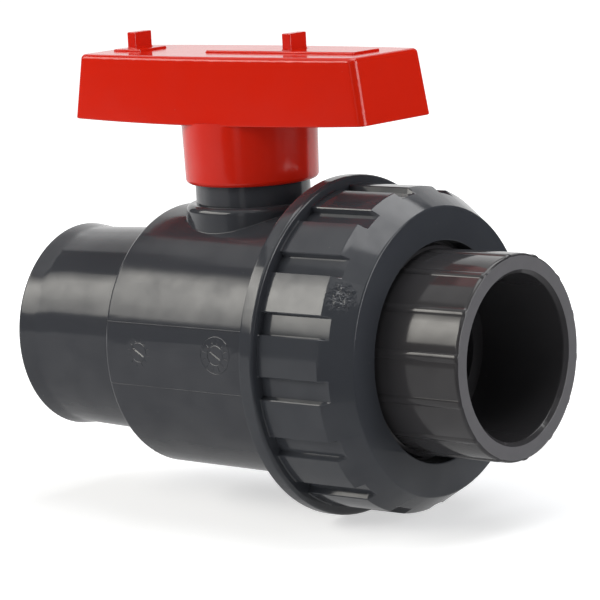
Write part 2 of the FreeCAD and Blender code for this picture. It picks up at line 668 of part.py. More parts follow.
# ---- handle: hollow moulded grip on a hub, with two lugs that double as the carrier's key
def rectangle(sketch, middle, length, width):
    """Draws an upright rectangle about a point on the sketch's X axis."""
    loop(sketch, [
        ("%s - (%s) / 2" % (middle, length), "-(%s) / 2" % width),
        ("%s + (%s) / 2" % (middle, length), "-(%s) / 2" % width),
        ("%s + (%s) / 2" % (middle, length), "(%s) / 2" % width),
        ("%s - (%s) / 2" % (middle, length), "(%s) / 2" % width),
    ])


def bowed_outline(name, height, length, width, bow):
    """A sketch of the grip's outline at a height: straight ends and long sides that bow out."""
    sketch = new_sketch(handle, name, "XY_Plane", height)
    loop(sketch, [
        ("-(%s) / 2" % length, "-(%s) / 2" % width),
        ("(%s) / 2" % length, "-(%s) / 2" % width),
        ("(%s) / 2" % length, "(%s) / 2" % width),
        ("-(%s) / 2" % length, "(%s) / 2" % width),
    ], {0: bow, 2: bow})
    return sketch


handle = new_body("handle", "ball_reach")
grip_plan = bowed_outline("GripPlanSketch", "grip_sag_floor", "grip_length", "grip_width", "bow_radius")
extruded(handle, "Pad", grip_plan, "handle_top - grip_sag_floor", taper="-side_draft")
grip_ends = new_sketch(handle, "GripEndSketch", "XZ_Plane")
for side in ("", "-"):
    loop(grip_ends, [
        (side + "grip_length / 2", "grip_sag_floor"),
        (side + "(grip_length / 2 + grip_roof)", "grip_sag_floor"),
        (side + "(grip_length / 2 + grip_roof)", "handle_top + grip_roof"),
        (side + "grip_top_length / 2", "handle_top + grip_roof"),
        (side + "grip_top_length / 2", "handle_top"),
    ])
grip_cut = extruded(handle, "Pocket", grip_ends, "grip_width * 2", symmetric=True)

top_height = number("handle_top")
grip_round = dressed(handle, "Fillet", grip_cut,
                     edges_at(grip_cut, number("grip_sag_floor"), top_height), "grip_corner")
dressed(handle, "Fillet", grip_round,
        edges_at(grip_round, top_height, top_height), "grip_edge")
belly = new_sketch(handle, "BellySketch", "XZ_Plane")
loop(belly, [
    ("-grip_length / 2", "handle_floor"),
    ("grip_length / 2", "handle_floor"),
    ("grip_length / 2", "grip_sag_floor - grip_belly"),
    ("-grip_length / 2", "grip_sag_floor - grip_belly"),
], {0: "belly_radius"})
extruded(handle, "Pocket", belly, "grip_width * 2", symmetric=True)

cell_plan = bowed_outline("CellPlanSketch", "grip_sag_floor", "cell_length",
                          "grip_width - 2 * grip_wall", "cell_bow_radius")
cell = extruded(handle, "Pocket", cell_plan, "handle_top - grip_roof - grip_sag_floor",
                reverse=True, taper="-side_draft")

ribs = new_sketch(handle, "RibSketch", "XY_Plane", "handle_floor + rib_rise")
loop(ribs, [
    ("-grip_top_length / 2 + grip_wall / 2", "-rib_thickness / 2"),
    ("grip_top_length / 2 - grip_wall / 2", "-rib_thickness / 2"),
    ("grip_top_length / 2 - grip_wall / 2", "rib_thickness / 2"),
    ("-grip_top_length / 2 + grip_wall / 2", "rib_thickness / 2"),
])
extruded(handle, "Pad", ribs, "handle_top - handle_floor - rib_rise - grip_roof / 2")
for step in (-3, -2, 2, 3):
    cross = new_sketch(handle, "CrossRibSketch%d" % (step + 3), "XY_Plane", "handle_floor + rib_rise")
    rectangle(cross, "%d * rib_pitch" % step, "rib_thickness", "grip_top_width - grip_wall")
    extruded(handle, "Pad", cross, "handle_top - handle_floor - rib_rise - grip_roof / 2")

hub = new_sketch(handle, "HubSketch", "XZ_Plane")
loop(hub, [
    ("0", "hub_floor"),
    ("hub_radius", "hub_floor"),
    ("hub_top_radius", "handle_floor"),
    ("grip_width / 2 - grip_wall / 2", "handle_floor"),
    ("grip_width / 2 - grip_wall / 2", "handle_top - grip_roof / 2"),
    ("0", "handle_top - grip_roof / 2"),
])
hub_solid = turned(handle, "Revolution", hub, "V_Axis")
dressed(handle, "Fillet", hub_solid, levels(hub_solid, [
    (number("hub_floor"), number("hub_radius"))]), "hub_round")
hub_bore = new_sketch(handle, "HubBoreSketch", "XZ_Plane")
loop(hub_bore, [
    ("0", "hub_floor - 1"),
    ("hub_bore", "hub_floor - 1"),
    ("hub_bore", "deck"),
    ("0", "deck"),
])
turned(handle, "Groove", hub_bore, "V_Axis")
socket = new_sketch(handle, "SquareSocketSketch", "XY_Plane", "deck - 1")
rectangle(socket, "0", "square_side + 2 * square_gap", "square_side + 2 * square_gap")
extruded(handle, "Pocket", socket, "square_top + square_gap - deck + 1", reverse=True)

tab = new_sketch(handle, "StopTabSketch", "XZ_Plane", turn="quarter_turn + stop_margin",
                 turn_axis=(0, 1, 0))
loop(tab, [
    ("stop_inner_radius + stop_margin / 8", "neck_top - stop_depth + deck_gap"),
    ("stop_outer_radius - stop_margin / 8", "neck_top - stop_depth + deck_gap"),
    ("stop_outer_radius - stop_margin / 8", "deck + 1"),
    ("stop_inner_radius + stop_margin / 8", "deck + 1"),
])
turned(handle, "Revolution", tab, "V_Axis", "stop_tab_sweep")

lugs = new_sketch(handle, "LugSketch", "XY_Plane", "handle_top - grip_roof / 2")
for side in ("-", ""):
    rectangle(lugs, "(%skey_spacing / 2 - key_shift)" % side, "lug_thickness", "lug_width")
extruded(handle, "Pad", lugs, "lug_height + grip_roof / 2")
pads = new_sketch(handle, "RaisedPadSketch", "XY_Plane", "handle_top - grip_roof / 2")
rectangle(pads, "-short_pad_middle", "short_pad_length", "pad_width")
rectangle(pads, "long_pad_middle", "long_pad_length", "pad_width")
pad_solid = extruded(handle, "Pad", pads, "pad_height + grip_roof / 2")
handle.Tip = pad_solid


# ---- union end: socket for the second pipe, held by the nut on its flange
union = new_body("union_end", "ball_reach")
union_outline = new_sketch(union, "UnionEndSketch", "XZ_Plane")
loop(union_outline, [
    ("union_back", "waterway_radius"),
    ("union_back", "flange_radius"),
    ("flange_front", "flange_radius"),
    ("flange_front", "barrel_neck_radius"),
    ("flat_start", "barrel_radius"),
    ("union_front - collar_band", "barrel_radius"),
    ("union_front - collar_band", "collar_band_radius"),
    ("union_front", "mouth_radius"),
    ("union_front", "socket_radius + bevel_width"),
    ("union_front - mouth_bevel", "socket_radius"),
    ("union_front - socket_depth", "socket_radius"),
    ("union_front - socket_depth", "waterway_radius"),
])
turned(union, "Revolution", union_outline)
flats = new_sketch(union, "FlatSketch", "YZ_Plane", "flat_start - 3", "180 - flat_turn")
loop(flats, [
    ("flat_reach", "-flange_radius / 3"),
    ("flange_radius", "-flange_radius / 3"),
    ("flange_radius", "flange_radius / 3"),
    ("flat_reach", "flange_radius / 3"),
])
flat = extruded(union, "Pocket", flats, "union_front - collar_band - flat_start + 3", reverse=True)
patterned(union, flat, flats, "flat_count")


# ---- union nut: grip lands between sixteen moulded grooves behind a tapered front
nut = new_body("union_nut", "ball_reach")
nut_outline = new_sketch(nut, "NutSketch", "XZ_Plane")
loop(nut_outline, [
    ("nut_back", "nut_bore"),
    ("nut_back", "nut_rim_radius"),
    ("nut_rim_front", "nut_rim_radius"),
    ("nut_rim_front", "nut_land_radius"),
    ("nut_land_end", "nut_land_radius"),
    ("nut_front", "nut_face_radius"),
    ("nut_front", "nut_hole_radius"),
    ("nut_seat", "nut_hole_radius"),
    ("nut_seat", "nut_bore"),
])
nut_solid = turned(nut, "Revolution", nut_outline)
rim_round = dressed(nut, "Fillet", nut_solid, rings(nut_solid, [
    (number("nut_back"), number("nut_rim_radius")),
    (number("nut_rim_front"), number("nut_rim_radius"))]), "nut_rim_round")
dressed(nut, "Fillet", rim_round, rings(rim_round, [
    (number("nut_front"), number("nut_face_radius")),
    (number("nut_front"), number("nut_hole_radius"))]), "nut_edge_round")
grooves = new_sketch(nut, "GrooveSketch", "YZ_Plane", "nut_rim_front", "180 - groove_turn")
loop(grooves, [
    ("groove_floor", "-(groove_width / 2 - groove_taper)"),
    ("nut_rim_radius", "-groove_half"),
    ("nut_rim_radius", "groove_half"),
    ("groove_floor", "groove_width / 2 - groove_taper"),
])
groove = extruded(nut, "Pocket", grooves, "nut_front - nut_rim_front", reverse=True)
patterned(nut, groove, grooves, "groove_count")


# ---- every piece is sound before it is written
doc.recompute()
os.makedirs(OUT, exist_ok=True)
worked.clear(SCRATCH)
for item in doc.Objects:
    if "Invalid" in item.State or "Error" in item.State:
        raise RuntimeError("%s did not build: %s" % (item.Label, item.State))
for item in doc.Objects:
    if item.TypeId != "PartDesign::Body":
        continue
    if item.Shape.isNull() or not item.Shape.isValid() or len(item.Shape.Solids) != 1:
        raise RuntimeError("%s is not one sound solid" % item.Label)
    item.Shape.exportStep(os.path.join(OUT, item.Label + ".step"))
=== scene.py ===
import math
import bpy
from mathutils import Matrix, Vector


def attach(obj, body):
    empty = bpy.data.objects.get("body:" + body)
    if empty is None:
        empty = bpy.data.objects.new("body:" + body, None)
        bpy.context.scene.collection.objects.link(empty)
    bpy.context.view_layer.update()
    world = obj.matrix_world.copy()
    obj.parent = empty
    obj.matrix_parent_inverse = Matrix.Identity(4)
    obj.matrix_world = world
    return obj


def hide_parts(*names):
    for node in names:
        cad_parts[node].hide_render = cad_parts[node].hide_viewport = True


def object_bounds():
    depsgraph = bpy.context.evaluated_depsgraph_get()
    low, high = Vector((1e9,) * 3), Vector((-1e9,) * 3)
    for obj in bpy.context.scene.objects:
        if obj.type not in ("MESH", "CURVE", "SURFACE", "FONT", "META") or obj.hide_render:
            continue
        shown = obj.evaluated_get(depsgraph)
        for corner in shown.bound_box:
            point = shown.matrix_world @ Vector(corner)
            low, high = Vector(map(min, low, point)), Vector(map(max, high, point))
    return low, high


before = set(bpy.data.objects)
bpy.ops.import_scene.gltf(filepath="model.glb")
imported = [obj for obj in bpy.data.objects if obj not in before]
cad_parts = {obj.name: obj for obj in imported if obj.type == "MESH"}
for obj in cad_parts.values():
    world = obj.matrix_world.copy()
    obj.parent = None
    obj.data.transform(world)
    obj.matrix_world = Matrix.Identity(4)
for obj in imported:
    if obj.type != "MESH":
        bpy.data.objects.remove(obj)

cad_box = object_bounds()
bpy.ops.object.select_all(action="DESELECT")
scene = bpy.context.scene
scene.view_settings.view_transform = "Standard"

# ---- camera: stands off the union end's right-hand side, a little above the flow axis, with a long
# lens that draws the valve with hardly any perspective
MM = 0.001
BALL = 43.3 * MM                  # pipe stop of the inlet socket to the ball's centre
camera_data = bpy.data.cameras.new("studio_camera")
camera_data.lens = 199.33
camera_data.sensor_width = 36
camera = bpy.data.objects.new("studio_camera", camera_data)
camera.location = (BALL + 0.66009, -0.79166, 0.17402)
camera.rotation_euler = (math.radians(81.0035), math.radians(3.0348), math.radians(38.635))
scene.collection.objects.link(camera)
scene.camera = camera


# ---- studio: a white room that shows in the valve's gloss but lights it only faintly, dimmer
# overhead than at the sides
def linear(hex_colour):
    """An sRGB hex colour as the linear RGBA that a shader takes."""
    channels = [int(hex_colour[i:i + 2], 16) / 255 for i in (1, 3, 5)]
    return [c / 12.92 if c <= 0.04045 else ((c + 0.055) / 1.055) ** 2.4 for c in channels] + [1]


def add_node(tree, kind, links=None, **settings):
    """Adds a node, sets its properties and unlinked inputs, and links the rest."""
    node = tree.nodes.new(kind)
    inputs = settings.pop("inputs", {})
    for name, value in settings.items():
        setattr(node, name, value)
    for name, value in inputs.items():
        node.inputs[name].default_value = value
    for name, source in (links or {}).items():
        tree.links.new(source, node.inputs[name])
    return node


def node_tree(owner):
    """Gives a material, world or lamp an empty node tree."""
    owner.use_nodes = True
    owner.node_tree.nodes.clear()
    return owner.node_tree


WHITE = (1, 1, 1, 1)
world = bpy.data.worlds.new("studio")
scene.world = world
sky = node_tree(world)
rays = add_node(sky, "ShaderNodeLightPath")
seen_or_mirrored = add_node(sky, "ShaderNodeMath", {0: rays.outputs["Is Camera Ray"],
                                                    1: rays.outputs["Is Glossy Ray"]},
                            operation="ADD")
shown = add_node(sky, "ShaderNodeMath", {0: seen_or_mirrored.outputs[0],
                                         1: rays.outputs["Is Transmission Ray"]},
                 operation="ADD", use_clamp=True)
room_light = add_node(sky, "ShaderNodeBackground",
                      inputs={"Color": linear("#F4F6FA"), "Strength": 0.1})
direction = add_node(sky, "ShaderNodeTexCoord")
upward = add_node(sky, "ShaderNodeSeparateXYZ", {0: direction.outputs["Generated"]})
dimmed = add_node(sky, "ShaderNodeMapRange", {"Value": upward.outputs["Z"]},
                  inputs={"From Min": 0.5, "From Max": 0.7, "To Min": 1.0, "To Max": 0.63})
white = add_node(sky, "ShaderNodeBackground", {"Strength": dimmed.outputs["Result"]},
                 inputs={"Color": WHITE})
surround = add_node(sky, "ShaderNodeMixShader", {0: shown.outputs[0], 1: room_light.outputs[0],
                                                 2: white.outputs[0]})
add_node(sky, "ShaderNodeOutputWorld", {"Surface": surround.outputs[0]})
world.cycles.sampling_method = "NONE"

# table: matt white paint that keeps the valve's shadow and is lifted to plain white further out.
# In the valve's gloss the table shows only a painted glow, a painted reflection that is dimmer in
# front than behind, and dark past the union end.
FLOOR = cad_box[0].z
TABLE_GAP = 0.2 * MM
BEHIND = (-0.62, 0.77, 0)         # directions along the table, from the frame's origin
PAST_UNION = (0.944, -0.328, 0)
table_paint = bpy.data.materials.new("matt_white_table")
tree = node_tree(table_paint)
rays = add_node(tree, "ShaderNodeLightPath")
matt = add_node(tree, "ShaderNodeBsdfDiffuse", inputs={"Color": linear("#E9EAEC")})
place = add_node(tree, "ShaderNodeTexCoord")
from_valve = add_node(tree, "ShaderNodeVectorMath", {0: place.outputs["Object"]},
                      operation="DISTANCE", inputs={1: (BALL, 0, FLOOR)})
glow = add_node(tree, "ShaderNodeMapRange", {"Value": from_valve.outputs["Value"]},
                inputs={"From Min": 0.12, "From Max": 0.5, "To Min": 0.55, "To Max": 1.0})
lift = add_node(tree, "ShaderNodeEmission", {"Strength": glow.outputs["Result"]},
                inputs={"Color": WHITE})
lifted = add_node(tree, "ShaderNodeAddShader", {0: matt.outputs[0], 1: lift.outputs[0]})
direct = add_node(tree, "ShaderNodeMixShader", {0: rays.outputs["Is Camera Ray"],
                                                1: matt.outputs[0], 2: lifted.outputs[0]})
away = add_node(tree, "ShaderNodeVectorMath", {0: place.outputs["Object"]},
                operation="DOT_PRODUCT", inputs={1: BEHIND})
behind = add_node(tree, "ShaderNodeMapRange", {"Value": away.outputs["Value"]},
                  inputs={"From Min": -0.02, "From Max": 0.3, "To Min": 0.43, "To Max": 0.9})
across = add_node(tree, "ShaderNodeVectorMath", {0: place.outputs["Object"]},
                  operation="DOT_PRODUCT", inputs={1: PAST_UNION})
beside = add_node(tree, "ShaderNodeMapRange", {"Value": across.outputs["Value"]},
                  inputs={"From Min": 0.13, "From Max": 0.21, "To Min": 1.0, "To Max": 0.04})
painted_glow_level = add_node(tree, "ShaderNodeMath", {0: behind.outputs["Result"],
                                             1: beside.outputs["Result"]}, operation="MULTIPLY")
# painted reflection: for glossy rays the table is this glow alone, not its lit paint
painted_table_glow = add_node(tree, "ShaderNodeEmission", {"Strength": painted_glow_level.outputs[0]},
                       inputs={"Color": WHITE})
table_shader = add_node(tree, "ShaderNodeMixShader", {0: rays.outputs["Is Glossy Ray"],
                                                      1: direct.outputs[0],
                                                      2: painted_table_glow.outputs[0]})
add_node(tree, "ShaderNodeOutputMaterial", {"Surface": table_shader.outputs[0]})

bpy.ops.mesh.primitive_plane_add(size=60, location=(BALL, 0, FLOOR - TABLE_GAP))
table_top = bpy.context.active_object
table_top.name = "table_top"
bpy.ops.object.transform_apply(location=True, rotation=True, scale=True)
table_top.data.materials.append(table_paint)

# curtain: a faint grey glow round the studio, open behind the valve, that shows only in the valve's
# gloss: a painted reflection standing in for dark cloth
CURTAIN_RADIUS = 2.4
CURTAIN_LOW = -0.2
CURTAIN_HIGH = 2.62
curtain_glow_material = bpy.data.materials.new("glowing_reflection_curtain")
tree = node_tree(curtain_glow_material)
# painted reflection: the curtain is a faint grey glow, not lit cloth
curtain_glow = add_node(tree, "ShaderNodeEmission", inputs={"Color": linear("#8A8A8C"), "Strength": 0.12})
add_node(tree, "ShaderNodeOutputMaterial", {"Surface": curtain_glow.outputs[0]})
bpy.ops.mesh.primitive_cylinder_add(vertices=72, radius=CURTAIN_RADIUS,
                                    depth=CURTAIN_HIGH - CURTAIN_LOW, end_fill_type="NOTHING",
                                    location=(BALL, 0, (CURTAIN_HIGH + CURTAIN_LOW) / 2))
curtain = bpy.context.active_object
curtain.name = "studio_curtain"
bpy.ops.object.transform_apply(location=True, rotation=True, scale=True)
bpy.ops.object.mode_set(mode="EDIT")
bpy.ops.mesh.select_all(action="DESELECT")
bpy.ops.object.mode_set(mode="OBJECT")
for face in curtain.data.polygons:
    bearing = math.degrees(math.atan2(face.center.x - BALL, face.center.y))
    face.select = -75 < bearing < -5
bpy.ops.object.mode_set(mode="EDIT")
bpy.ops.mesh.delete(type="FACE")
bpy.ops.object.mode_set(mode="OBJECT")
curtain.data.materials.append(curtain_glow_material)
curtain.visible_camera = False
curtain.visible_diffuse = False
curtain.visible_shadow = False


def soft_box(name, towards, distance, width, height, watts, colour="#FFFFFF"):
    """An area light in the given direction from the valve's middle, turned to face it."""
    middle = Vector((BALL + 0.02, 0, 0.01))
    data = bpy.data.lights.new(name, "AREA")
    data.shape = "RECTANGLE"
    data.size = width
    data.size_y = height
    data.energy = watts
    data.color = linear(colour)[:3]
    lamp = bpy.data.objects.new(name, data)
    lamp.location = middle + Vector(towards).normalized() * distance
    lamp.rotation_euler = (middle - lamp.location).to_track_quat("-Z", "Y").to_euler()
    scene.collection.objects.link(lamp)
    return data


# the key box glows most two thirds of the way up, fades at its upper edge, and is brighter over a
# little more than half of its width
key = soft_box("key_box", (-0.58, -0.66, 0.5), distance=1.1, width=1.2, height=0.68, watts=11,
               colour="#FFFCF4")
tree = node_tree(key)
spot = add_node(tree, "ShaderNodeNewGeometry")
split = add_node(tree, "ShaderNodeSeparateXYZ", {0: spot.outputs["Parametric"]})
rise = add_node(tree, "ShaderNodeValToRGB", {"Fac": split.outputs["Y"]})
KEY_STOPS = [(0.03, 0), (0.07, 0.42), (0.54, 1), (0.73, 1), (0.96, 0)]     # height on the box, glow
for stop, (height, strength) in enumerate(KEY_STOPS):
    element = rise.color_ramp.elements[stop] if stop < 2 else rise.color_ramp.elements.new(height)
    element.position = height
    element.color = (strength, strength, strength, 1)
brighter = add_node(tree, "ShaderNodeMapRange", {"Value": split.outputs["X"]},
                    inputs={"From Min": 0.35, "From Max": 0.45, "To Min": 1.0, "To Max": 1.35})
level = add_node(tree, "ShaderNodeMath", {0: rise.outputs["Color"], 1: brighter.outputs["Result"]},
                 operation="MULTIPLY")
glowing = add_node(tree, "ShaderNodeEmission", {"Strength": level.outputs[0]})
add_node(tree, "ShaderNodeOutputLight", {"Surface": glowing.outputs[0]})
soft_box("top_box", (0.15, 0.25, 1.0), distance=1.2, width=1.0, height=1.0, watts=7.5)
soft_box("fill_box", (0.95, 0.35, 0.26), distance=1.3, width=0.8, height=0.8, watts=6.5)
# two tall strips and a small lamp over the camera, which draw fine lines along the rounded edges
soft_box("left_strip", (0.26, -0.95, 0.35), distance=0.7, width=0.14, height=0.8, watts=0.15)
soft_box("right_strip", (0.99, -0.05, 0.35), distance=0.7, width=0.14, height=0.8, watts=0.07)
soft_box("front_lamp", (0.43, -0.62, 0.66), distance=1.2, width=0.22, height=0.22, watts=0.13)


# ---- valve body: one PVC-U moulding with the inlet socket, the ball chamber, the stem's neck and
# the union thread.  It leaves the mould glossy, with a raised parting line along each edge of the
# side slides and the marks of two date inserts pressed into its front.
def moulded(name, hex_dark, hex_light, roughness, waviness, cloud_size=22 * MM, ior=1.53):
    """Injection-moulded plastic: faint clouds of colour, a slightly wavy gloss and stray dust."""
    material = bpy.data.materials.new(name)
    tree = node_tree(material)
    place = add_node(tree, "ShaderNodeTexCoord")
    cloud = add_node(tree, "ShaderNodeTexNoise", {"Vector": place.outputs["Object"]},
                     inputs={"Scale": 1 / cloud_size, "Detail": 4, "Roughness": 0.6})
    colour = add_node(tree, "ShaderNodeMix", {"Factor": cloud.outputs["Fac"]}, data_type="RGBA")
    colour.inputs["A"].default_value = linear(hex_dark)
    colour.inputs["B"].default_value = linear(hex_light)
    # dust: specks 0.3 mm across, about one to each 6 mm
    specks = add_node(tree, "ShaderNodeTexVoronoi", {"Vector": place.outputs["Object"]},
                      inputs={"Scale": 1 / (6 * MM)})
    dust = add_node(tree, "ShaderNodeMapRange", {"Value": specks.outputs["Distance"]},
                    inputs={"From Min": 0.012, "From Max": 0.03, "To Min": 0.3, "To Max": 0.0})
    dusty = add_node(tree, "ShaderNodeMix", {"Factor": dust.outputs["Result"],
                                             "A": colour.outputs["Result"]}, data_type="RGBA")
    dusty.inputs["B"].default_value = linear("#A9A8A4")
    # the gloss has a 1.1 mm grain, drawn coarser than the mould's own so that it shows
    fine = add_node(tree, "ShaderNodeTexNoise", {"Vector": place.outputs["Object"]},
                    inputs={"Scale": 1 / (1.1 * MM), "Detail": 2})
    gloss = add_node(tree, "ShaderNodeMapRange", {"Value": fine.outputs["Fac"]},
                     inputs={"To Min": roughness - 0.03, "To Max": roughness + 0.04})
    # shrinkage leaves 8 mm waves in it, and hands leave 11 mm smears that mirror less
    wave = add_node(tree, "ShaderNodeTexNoise", {"Vector": place.outputs["Object"]},
                    inputs={"Scale": 1 / (8 * MM), "Detail": 2})
    bump = add_node(tree, "ShaderNodeBump", {"Height": wave.outputs["Fac"]},
                    inputs={"Strength": waviness, "Distance": 0.4 * MM})
    smear = add_node(tree, "ShaderNodeTexNoise", {"Vector": place.outputs["Object"]},
                     inputs={"Scale": 1 / (11 * MM), "Detail": 3, "Roughness": 0.55})
    smudged = add_node(tree, "ShaderNodeMapRange", {"Value": smear.outputs["Fac"]},
                       inputs={"From Min": 0.3, "From Max": 0.7, "To Min": 0.34, "To Max": 0.6})
    skin = add_node(tree, "ShaderNodeBsdfPrincipled",
                    {"Base Color": dusty.outputs["Result"], "Roughness": gloss.outputs["Result"],
                     "Specular IOR Level": smudged.outputs["Result"],
                     "Normal": bump.outputs["Normal"]}, inputs={"IOR": ior})
    add_node(tree, "ShaderNodeOutputMaterial", {"Surface": skin.outputs[0]})
    return material


def only(piece):
    """Selects one piece alone and makes it the active one."""
    bpy.ops.object.select_all(action="DESELECT")
    piece.select_set(True)
    bpy.context.view_layer.objects.active = piece


def merged_copy(name, node_name):
    """A separate copy of a CAD node, its loose triangles merged into clean flat faces."""
    piece = bpy.data.objects.new(name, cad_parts[node_name].data.copy())
    piece.data.name = name
    scene.collection.objects.link(piece)
    only(piece)
    bpy.ops.mesh.customdata_custom_splitnormals_clear()
    bpy.ops.object.mode_set(mode="EDIT")
    bpy.ops.mesh.select_all(action="SELECT")
    bpy.ops.mesh.remove_doubles(threshold=0.001 * MM)
    bpy.ops.mesh.dissolve_limited(angle_limit=math.radians(0.3))
    bpy.ops.mesh.select_all(action="DESELECT")
    bpy.ops.object.mode_set(mode="OBJECT")
    return piece


def applied(piece, kind, **settings):
    """Adds a modifier with its settings and applies it."""
    only(piece)
    modifier = piece.modifiers.new(kind, kind)
    for name, value in settings.items():
        setattr(modifier, name, value)
    bpy.ops.object.modifier_apply(modifier=modifier.name)


def settle(piece):
    """Moves a piece's place, turn and size into its mesh."""
    only(piece)
    bpy.ops.object.transform_apply(location=True, rotation=True, scale=True)


def finished(piece, material, body, smooth_angle, replaced=None):
    """Gives a piece its material, shading and place among the moving bodies."""
    piece.data.materials.clear()
    piece.data.materials.append(material)
    only(piece)
    bpy.ops.object.shade_smooth_by_angle(angle=math.radians(smooth_angle))
    applied(piece, "WEIGHTED_NORMAL", keep_sharp=True)
    if replaced:
        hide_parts(replaced)
    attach(piece, body)


BODY_RADIUS = 41.58 * MM          # level with the ball
WIDENING = 0.0095                 # radius gained for each length along the flow
NUT_BACK = 33.75 * MM             # from the ball's centre
THREAD_CREST = 44 * MM
THREAD_ROOT = 42.1 * MM
NEAR = 0.05 * MM                  # a point this near a size counts as at it

# PVC-U from a polished mould: a dark blue-grey with a clear gloss
body_pvc = moulded("dark_grey_moulded_pvc", "#3E4046", "#43454A", roughness=0.11, waviness=0.05)
body_shell = merged_copy("body_shell", "valve_body")
# the union thread's plain crest goes down to its root, and the ridge is wound on it below
for vertex in body_shell.data.vertices:
    reach = math.hypot(vertex.co.y, vertex.co.z)
    vertex.select = reach > THREAD_CREST - NEAR and vertex.co.x > BALL + NUT_BACK
bpy.ops.object.mode_set(mode="EDIT")
bpy.ops.transform.resize(value=(1, THREAD_ROOT / THREAD_CREST, THREAD_ROOT / THREAD_CREST),
                         center_override=(0, 0, 0))
bpy.ops.object.mode_set(mode="OBJECT")

# date inserts: fine rings, twelve ticks and a slotted arrow, all pressed in
MARK_DEPTH = 0.09 * MM
LINE_WIDTH = 0.4 * MM
TICKS = 12
FIRST_TICK = 12                   # degrees
CUTTER_HEIGHT = 2 * MM
ARROW_DEPTH = 0.23 * MM
ARROW_WIDTH = 0.8 * MM
ARROW_LENGTH = 4.6 * MM
ARROW_LEAN = math.radians(31)     # down towards the union end


def pressed(cutter):
    """Rolls a cutter that stands on the front tangent plane round the body, and presses it in."""
    settle(cutter)
    for vertex in cutter.data.vertices:
        reach = -vertex.co.y + (vertex.co.x - BALL) * WIDENING
        turn = vertex.co.z / BODY_RADIUS
        vertex.co.y = -reach * math.cos(turn)
        vertex.co.z = reach * math.sin(turn)
    applied(body_shell, "BOOLEAN", operation="DIFFERENCE", solver="EXACT", object=cutter)
    bpy.data.objects.remove(cutter)


# middle along the flow from the ball, middle up, radii of the rings, inner and outer reach of ticks
DATE_MARKS = [
    (-15.1 * MM, 1.05 * MM, [3.0 * MM], 3.3 * MM, 4.6 * MM),
    (16.0 * MM, 2.2 * MM, [3.0 * MM, 5.7 * MM], 3.5 * MM, 5.1 * MM),
]
for along, up, ring_radii, tick_from, tick_to in DATE_MARKS:
    x = BALL + along
    for ring_radius in ring_radii:
        bpy.ops.mesh.primitive_torus_add(
            location=(x, -BODY_RADIUS - LINE_WIDTH / 2 + MARK_DEPTH, up),
            rotation=(math.pi / 2, 0, 0), major_radius=ring_radius, minor_radius=LINE_WIDTH / 2,
            major_segments=64, minor_segments=8)
        pressed(bpy.context.active_object)
    ticks = []
    for tick in range(TICKS):
        turn = math.radians(tick * 360 / TICKS + FIRST_TICK)
        reach = (tick_from + tick_to) / 2
        bpy.ops.mesh.primitive_cube_add(
            size=1, location=(x + reach * math.cos(turn),
                              -BODY_RADIUS - CUTTER_HEIGHT / 2 + MARK_DEPTH,
                              up - reach * math.sin(turn)),
            rotation=(0, turn, 0), scale=(tick_to - tick_from, CUTTER_HEIGHT, LINE_WIDTH))
        cutter = bpy.context.active_object
        settle(cutter)
        bpy.ops.object.mode_set(mode="EDIT")
        bpy.ops.mesh.select_all(action="SELECT")
        bpy.ops.mesh.bevel(offset=LINE_WIDTH * 0.3, segments=2, affect="EDGES")
        bpy.ops.object.mode_set(mode="OBJECT")
        ticks.append(cutter)
    for cutter in ticks:
        cutter.select_set(True)
    bpy.ops.object.join()
    pressed(bpy.context.active_object)
    # the arrow is a V groove, with a wider V that runs out to a point for its head
    slope = (0, ARROW_LEAN - math.pi / 2, 0)
    bpy.ops.mesh.primitive_cylinder_add(
        vertices=4, radius=1, depth=1, location=(x, -BODY_RADIUS, up), rotation=slope,
        scale=(ARROW_WIDTH / 2, ARROW_DEPTH, ARROW_LENGTH))
    pressed(bpy.context.active_object)
    head = (x - ARROW_LENGTH / 2 * math.cos(ARROW_LEAN), -BODY_RADIUS,
            up + ARROW_LENGTH / 2 * math.sin(ARROW_LEAN))
    bpy.ops.mesh.primitive_cone_add(
        vertices=4, radius1=1, radius2=0, depth=1, location=head, rotation=slope,
        scale=(ARROW_WIDTH, ARROW_DEPTH * 1.1, ARROW_WIDTH * 1.8))
    pressed(bpy.context.active_object)

finished(body_shell, body_pvc, "housing", smooth_angle=28, replaced="valve_body")

# parting lines: the mould's side slides left a fine bead along both of their edges, from the
# shoulder to the nut, and the upper one stands out more
BEAD_WIDTH = 0.42 * MM
BEAD_FOOT = 0.5 * MM
BEAD_START = BALL - 28.3 * MM     # on the shoulder
BEAD_END = BALL + 35.5 * MM       # under the nut
SHOULDER_RADIUS = 41.3 * MM
BEAD_WIDENING = 0.6 * MM          # over its length, as the body's own
# name, side of the valve, degrees above the flow axis, height
PARTING_LINES = [
    ("parting_line_front", -1, 13.7, 0.17 * MM), ("parting_line_front_low", -1, -13.7, 0.07 * MM),
    ("parting_line_back", 1, 13.7, 0.17 * MM), ("parting_line_back_low", 1, -13.7, 0.07 * MM),
]
for name, side, above, height in PARTING_LINES:
    middle = side * (SHOULDER_RADIUS + height - BEAD_FOOT / 2)
    bpy.ops.mesh.primitive_cube_add(size=1, location=((BEAD_START + BEAD_END) / 2, middle, 0),
                                    scale=(BEAD_END - BEAD_START, BEAD_FOOT, BEAD_WIDTH))
    bead = bpy.context.active_object
    bead.name = name
    settle(bead)
    for vertex in bead.data.vertices:
        if vertex.co.x > BALL:
            vertex.co.y += side * BEAD_WIDENING
    for edge in bead.data.edges:
        edge.select = all(abs(bead.data.vertices[i].co.y) > SHOULDER_RADIUS for i in edge.vertices)
    bpy.ops.object.mode_set(mode="EDIT")
    bpy.ops.mesh.bevel(offset=0.12 * MM, segments=3, affect="EDGES")
    bpy.ops.mesh.select_all(action="SELECT")
    bpy.ops.transform.rotate(value=-side * math.radians(above), orient_axis="X",
                             center_override=(0, 0, 0))
    bpy.ops.object.mode_set(mode="OBJECT")
    finished(bead, body_pvc, "housing", smooth_angle=50)

